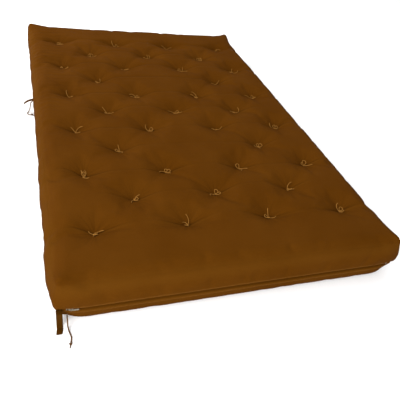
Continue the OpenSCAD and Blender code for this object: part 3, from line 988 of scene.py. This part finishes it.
def make_layer(name, half, share):
    """One sheet of filling, squeezed between the cover's faces and crushed at every tuft."""
    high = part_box(f"{name}_{half}")[1]
    edge = max(HALF_W - high.x, 0.018) + 0.004
    short = 0.024 + 0.034 * share[1]
    x_half = HALF_W - edge
    y0, y1 = (FOLD_Y + short, HALF_L - edge) if half == "head" else (-HALF_L + edge, FOLD_Y - short)
    xs, ys = np.linspace(-x_half, x_half, 74), np.linspace(y0, y1, 56)
    bm = grid_box(list(xs), list(ys), [0, 0.25, 0.75, 1])
    mesh = mesh_from(bm, name)
    points = read_points(mesh)
    x, y, t = points.T
    inward = 1 - np.sqrt(np.clip(1 - (2 * t - 1) ** 2, 0, 1)) * 0.9
    for axis, low_edge, high_edge in ((0, -x_half, x_half), (1, y0, y1)):
        side = points[:, axis]
        at_edge = (side < low_edge + 1e-6) * 1.0 - (side > high_edge - 1e-6) * 1.0
        points[:, axis] += at_edge * 0.006 * inward
    x, y = points[:, 0], points[:, 1]
    crushed = np.max([hump(np.hypot(x - tx, y - ty), 0.030) for tx, ty in TUFTS], axis=0)
    floor = sample(FIELD[3], x, y) + 2.5 * MM + 5 * MM * crushed
    ceiling = sample(FIELD[2], x, y) - 4.5 * MM - 16 * MM * crushed
    at = share[0] + (share[1] - share[0]) * t
    points[:, 2] = floor + (ceiling - floor) * at + 0.5 * MM * wobble(x, y, 18.0, share[0] * 9)
    write_points(mesh, points)
    piece = object_from(f"{name}_{half}_sheet", mesh, FOAM if name.startswith("foam") else FELT)
    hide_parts(f"{name}_{half}")
    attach(piece, half + "_half")


for layer_name, layer_share in zip(LAYERS, layer_bounds()):
    for half_name in ("head", "foot"):
        make_layer(layer_name, half_name, layer_share)

# ---------------- tufts


def laid(x, y, lift):
    return Vector((x, y, top_at(x, y) + lift))


def tail(tx, ty, top, angle, length, bend, lift=1.7 * MM):
    """A loose end that leaves the knot and lies down on the cloth."""
    points, x, y = [Vector((tx, ty, top))], tx, ty
    count = max(4, round(length / (6 * MM)))
    for k in range(1, count + 1):
        x += math.cos(angle) * length / count
        y += math.sin(angle) * length / count
        angle += bend / count
        spring = 3.5 * MM * math.exp(-k / 1.4) + 1.5 * MM * (k / count) ** 3
        points.append(laid(x, y, lift + spring))
    return points


def bow(tx, ty, top, angle, length):
    """A small loop that goes out from the knot and comes back to it."""
    wide = 0.42 * length
    points = []
    for k in range(9):
        t = k / 8
        out, across = math.sin(math.pi * t) * length, math.sin(math.tau * t) * wide
        x = tx + out * math.cos(angle) - across * math.sin(angle)
        y = ty + out * math.sin(angle) + across * math.cos(angle)
        stand = 2.6 * MM + 3.2 * MM * math.sin(math.pi * t)
        points.append(Vector((x, y, top)) if k in (0, 8) else laid(x, y, stand))
    return points


def make_tuft(tx, ty, pick):
    """All the strands of one tuft, each a list of points."""
    top = top_at(tx, ty) + 3.4 * MM
    low = under_at(tx, ty) + 2.0 * MM
    heading = pick.uniform(0, math.tau)
    strands = [[Vector((tx, ty, low)), Vector((tx, ty, (low + top) / 2)), Vector((tx, ty, top))]]
    turn = pick.choice((-1, 1))
    strands.append(tail(tx, ty, top, heading, pick.uniform(26, 46) * MM, turn * pick.uniform(0.8, 3.2)))
    apart = pick.choice((0.9, 1.6, 2.4, 3.0))
    length = pick.uniform(20, 38) * MM
    strands.append(tail(tx, ty, top, heading + apart, length, turn * pick.uniform(-1.6, 2.4)))
    if pick.random() < 0.85:
        strands.append(bow(tx, ty, top, heading + apart / 2 + 2.6, pick.uniform(13, 20) * MM))
    if pick.random() < 0.50:
        strands.append(bow(tx, ty, top, heading + apart / 2 - 2.4, pick.uniform(11, 16) * MM))
    if pick.random() < 0.35:
        strands.append(tail(tx, ty, top, heading + 4.1, pick.uniform(18, 26) * MM, pick.uniform(-1, 1)))
    knots = [knot_line((tx, ty, top), 9 * MM, turn=heading, tilt=0.25),
             knot_line((tx, ty, low + 1.5 * MM), 6 * MM, turn=heading)]
    return strands, knots


def make_tuft_row(name, places, pick):
    wound, knots = [], []
    for tx, ty in places:
        strands, tied = make_tuft(tx, ty, pick)
        for line in strands:
            wound += plies(line, 0.22 * TWINE, 9 * MM)
        knots += tied
    piece = tube_mesh(name + "_twine", wound + knots, 0.25 * TWINE, TWINE_BROWN, sides=1)
    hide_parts(name)
    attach(piece, "head_half" if places[0][1] > FOLD_Y else "foot_half")


tuft_pick = random.Random(5)
for row_name, row_places in TUFT_ROWS.items():
    make_tuft_row(row_name, row_places, tuft_pick)

# ---------------- zip


def merge_copies(bm, source, offsets):
    """Adds a copy of the source mesh at every offset."""
    for offset in offsets:
        count = len(bm.verts)
        bm.from_mesh(source)
        bm.verts.ensure_lookup_table()
        bmesh.ops.translate(bm, verts=bm.verts[count:], vec=offset)


def bar(size):
    bm = bmesh.new()
    bmesh.ops.create_cube(bm, size=1)
    bmesh.ops.scale(bm, verts=bm.verts, vec=size)
    return bm


def ease_edges(bm, edges, width, segments=1, clamp=False):
    bmesh.ops.bevel(bm, geom=edges, offset=width, segments=segments, profile=0.5, affect="EDGES",
                    clamp_overlap=clamp, material=-1)


def tooth_mesh(upper):
    """One tooth: a rounded bar with a wider head that hooks past the middle."""
    bm = bar((1.15 * MM, 2.0 * MM, 4.2 * MM))
    sign = 1 if upper else -1
    tips = [v for v in bm.verts if v.co.z * sign < 0]
    bmesh.ops.scale(bm, verts=tips, vec=(1.25, 1.0, 1.0))
    ease_edges(bm, list(bm.edges), 0.28 * MM)
    bmesh.ops.translate(bm, verts=bm.verts, vec=(0, ZIP_Y, SEAM + sign * 1.5 * MM))
    return mesh_from(bm, "tooth")


def make_teeth(node_name, upper):
    low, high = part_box(node_name)
    pitch = 2.7 * MM
    count = int((high.x - low.x - 2 * MM) / pitch)
    start = low.x + 1.2 * MM + (0 if upper else pitch / 2)
    source = tooth_mesh(upper)
    bm = bmesh.new()
    merge_copies(bm, source, [(start + k * pitch, 0, 0) for k in range(count)])
    piece = object_from(node_name + "_row", mesh_from(bm, node_name + "_row"), NYLON, smooth=False)
    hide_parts(node_name)
    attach(piece, "foot_half")


def make_zip_tape(node_name):
    """A woven tape with a corded edge beside the teeth."""
    low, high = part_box(node_name)
    upper = low.z > SEAM
    inner, outer = (low.z, high.z) if upper else (high.z, low.z)
    reach = (outer - inner) * 0.55
    zs = sorted([inner, inner + reach * 0.12, inner + reach * 0.24, inner + reach])
    bm = grid_box(list(np.linspace(low.x, high.x, 90)), [low.y, high.y], zs)
    for v in bm.verts:
        near = abs(v.co.z - inner) < abs(reach) * 0.25
        v.co.y += (-0.5 * MM if v.co.y < ZIP_Y else 0.2 * MM) * near
        v.co.y += 0.25 * MM * math.sin(v.co.x * 41) * (not near)
    piece = object_from(node_name + "_woven", mesh_from(bm, node_name), ZIP_TAPE)
    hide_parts(node_name)
    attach(piece, "foot_half")


def softened(node_name, width, body, new_name):
    """A small metal piece with its edges eased, from the CAD solid's own faces."""
    bm = bmesh.new()
    bm.from_mesh(frame["nodes"][node_name].data)
    bmesh.ops.remove_doubles(bm, verts=bm.verts, dist=0.01 * MM)
    bmesh.ops.dissolve_limit(bm, angle_limit=math.radians(1), verts=bm.verts, edges=bm.edges)
    sharp = [e for e in bm.edges if len(e.link_faces) == 2 and e.calc_face_angle(0) > math.radians(40)]
    ease_edges(bm, sharp, width, segments=2, clamp=True)
    piece = object_from(new_name, mesh_from(bm, new_name), METAL, smooth=False)
    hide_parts(node_name)
    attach(piece, body)


for tape_name in ("zip_tape_upper", "zip_tape_lower"):
    make_zip_tape(tape_name)
make_teeth("zip_teeth_upper", True)
make_teeth("zip_teeth_lower", False)
softened("zip_slider", 0.25 * MM, "zip_slider", "zip_slider_body")
softened("zip_pull_tab", 0.3 * MM, "zip_pull", "zip_pull_plate")
softened("zip_stops_left", 0.3 * MM, "foot_half", "zip_stops_closed_end")
softened("zip_stop_right", 0.3 * MM, "foot_half", "zip_stop_open_end")

# ---------------- tie tapes


STRAP_COLUMNS = 7


def swept_strip(line, across, width):
    """A flat strip from one end of a line to the other, grown by a chain of extrusions."""
    bm = bmesh.new()
    places = np.linspace(-width / 2, width / 2, STRAP_COLUMNS)
    first = [bm.verts.new(line[0] + across * float(p)) for p in places]
    edges = [bm.edges.new(pair) for pair in zip(first, first[1:])]
    for a, b in zip(line, line[1:]):
        made = bmesh.ops.extrude_edge_only(bm, edges=edges)["geom"]
        fresh = [v for v in made if isinstance(v, bmesh.types.BMVert)]
        bmesh.ops.translate(bm, verts=fresh, vec=b - a)
        edges = [e for e in made if isinstance(e, bmesh.types.BMEdge) and
                 all(v in made for v in e.verts) and len(e.link_faces) == 1]
        edges = [e for e in edges if abs((e.verts[1].co - e.verts[0].co).normalized().dot(across)) > 0.99]
    return bm


def unfold_strip(bm, line, across):
    """The strip's UV map: metres across it and along it."""
    uv = bm.loops.layers.uv.new("UVMap")
    bm.faces.ensure_lookup_table()
    along = np.r_[0, np.cumsum([(b - a).length for a, b in zip(line, line[1:])])]
    for index, face in enumerate(bm.faces):
        step = index // (STRAP_COLUMNS - 1)
        for loop in face.loops:
            spot = loop.vert.co
            offset = (spot - line[0]).dot(across)
            nearest = min((step, step + 1), key=lambda k: (line[k] + across * offset - spot).length)
            loop[uv].uv = (offset, along[nearest])


def strap(name, line, across, width, thickness, body, node_name):
    """A tape folded double, swept along its own line, with its middle on that line."""
    bm = swept_strip(line, across, width)
    unfold_strip(bm, line, across)
    bm.normal_update()
    for v in bm.verts:
        v.co += v.normal * thickness / 2
    bmesh.ops.solidify(bm, geom=list(bm.faces), thickness=thickness)
    bmesh.ops.recalc_face_normals(bm, faces=bm.faces)
    piece = subdivided(object_from(name, mesh_from(bm, name), TIE_TAPE))
    set_smooth(piece.data)
    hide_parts(node_name)
    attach(piece, body)


def bend_line(centre, radius, first, last, turn, steps=7):
    """Points [outward, height] round a bend. The angles are the headings in degrees above level."""
    heads = np.radians(np.linspace(first, last, steps))
    return [(centre[0] - turn * radius * math.sin(h), centre[1] + turn * radius * math.cos(h))
            for h in heads]


def corner_tape_line():
    """From the seam over the lower roll, down to the floor and along it, as the CAD tape goes."""
    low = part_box("tie_tape_corner")[0]
    out, bend, foot_bend = 0.0108, 5 * MM, 7 * MM
    landing = out + bend + foot_bend
    end = WAIST - low.y - HALF_L
    run = [(-0.0060, SEAM)]
    run += bend_line((out, SEAM - bend), bend, 0, -90, 1)
    run += bend_line((landing, TAPE_THICK / 2 + foot_bend), foot_bend, -90, 0, -1)
    run += [(landing + (end - landing) * t, TAPE_THICK / 2) for t in (0.5, 1.0)]
    x = box_middle("tie_tape_corner", 0)
    return [Vector((x - 0.16 * max(0, o - landing), -HALF_L + WAIST - o, h)) for o, h in run]


def side_tape_line():
    """From the seam it droops in one long curve."""
    radius, droop = 0.060, 50
    run = [(-0.0060, SEAM)] + bend_line((WAIST, SEAM - radius), radius, 0, -droop, 1, steps=10)
    y = box_middle("tie_tape_side", 1)
    return [Vector((-HALF_W + WAIST - o, y, h)) for o, h in run]


corner_line, side_line = corner_tape_line(), side_tape_line()
TAPE_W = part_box("tie_tape_corner")[1].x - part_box("tie_tape_corner")[0].x
strap("corner_tie_tape", corner_line, Vector((1, 0, 0)), TAPE_W, TAPE_THICK, "foot_half",
      "tie_tape_corner")
strap("side_tie_tape", side_line, Vector((0, 1, 0)), TAPE_W, TAPE_THICK, "head_half",
      "tie_tape_side")

# ---------------- stitching beside the zip


def make_stitches():
    """Two rows of stitches that hold the zip tapes, sunk a little into the cloth."""
    bm = bar((2.9 * MM, 0.7 * MM, 0.7 * MM))
    ease_edges(bm, list(bm.edges), 0.22 * MM)
    source = mesh_from(bm, "stitch")
    joined = bmesh.new()
    pitch = 4.0 * MM
    count = int(2 * (ZIP_HALF - 0.004) / pitch)
    for side in (-1, 1):
        z = SEAM + side * 0.0125
        spots = [(-ZIP_HALF + 0.006 + k * pitch) for k in range(count)]
        merge_copies(joined, source, [(x, foot_face_at(x, z) - 0.05 * MM, z) for x in spots])
    piece = object_from("zip_stitching", mesh_from(joined, "zip_stitching"), THREAD, smooth=False)
    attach(piece, "foot_half")


make_stitches()

# ---------------- floor and light


def make_floor():
    bm = bmesh.new()
    bmesh.ops.create_grid(bm, x_segments=4, y_segments=4, size=30)
    material, tree, shader = new_material("pale_floor", 0.9)
    mottle = use_group(tree, MOTTLE, {"Vector": own_place(tree), "Size": 1.5, "Lint": 40.0})
    grey = mix(tree, mottle["Fac"], (0.93, 0.93, 0.93), (0.95, 0.95, 0.95))
    join(tree, shader, Base_Color=grey)
    floor = object_from("floor", mesh_from(bm, "floor"), material, smooth=False)


def area_light(name, place, target, size, power, colour=(1, 1, 1)):
    data = bpy.data.lights.new(name, "AREA")
    data.shape = "DISK"
    data.size = size
    data.energy = power
    data.color = colour
    light = linked(name, data)
    light.location = place
    light.rotation_euler = (Vector(target) - Vector(place)).to_track_quat("-Z", "Y").to_euler()


def make_light():
    world = bpy.data.worlds.new("studio")
    world.use_nodes = True
    sky = world.node_tree.nodes["Background"].inputs
    sky["Color"].default_value = (1, 1, 1, 1)
    sky["Strength"].default_value = 0.96
    bpy.context.scene.world = world
    area_light("key", (-2.2, 2.2, 2.2), (0, 0, 0.1), 1.0, 108, (1.0, 0.97, 0.92))
    area_light("fill", (-2.0, -3.0, 1.8), (-0.3, -0.4, 0.1), 2.0, 125)


make_floor()
make_light()
bpy.context.scene.view_settings.view_transform = "Standard"
